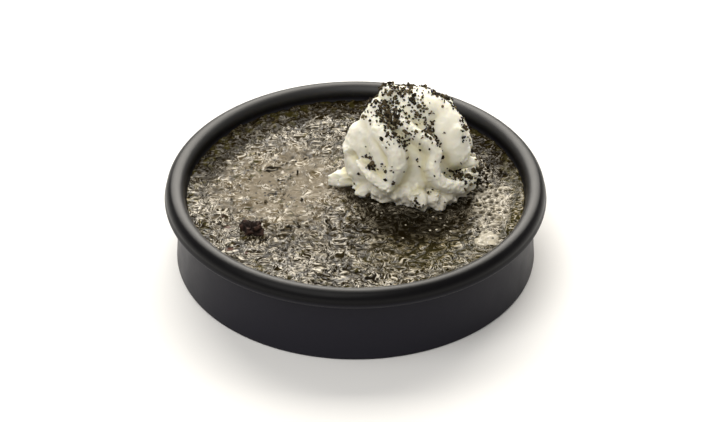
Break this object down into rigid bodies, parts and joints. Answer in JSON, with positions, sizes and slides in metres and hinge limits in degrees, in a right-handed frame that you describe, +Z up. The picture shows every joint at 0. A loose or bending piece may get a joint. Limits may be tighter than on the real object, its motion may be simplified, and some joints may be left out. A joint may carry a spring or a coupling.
{
  "type": "creme brulee in a dish",
  "caption": "Shallow round black dish filled with baked custard under a crinkled crust, with a folded dollop of whipped cream and cookie crumbs.",
  "frame": {"origin": "middle of the dish's underside, on the table", "axes": "+Z up; +X to the right and +Y to the back as the diner sees it, with the cream to the right of the middle and behind it"},
  "size_m": [0.12, 0.12, 0.0551],
  "materials": {
    "dish": "satin black glaze",
    "custard": "baked custard with crumb, under a thin crinkled sugar crust, wet gloss",
    "cream": "whipped cream, soft matt",
    "cookie": "dry dark cookie crumb, matt"
  },
  "bodies": {
    "root": {"dish": "dish", "custard": "custard", "whipped_cream": "cream", "cookie_lump": "cookie"}
  },
  "joints": []
}
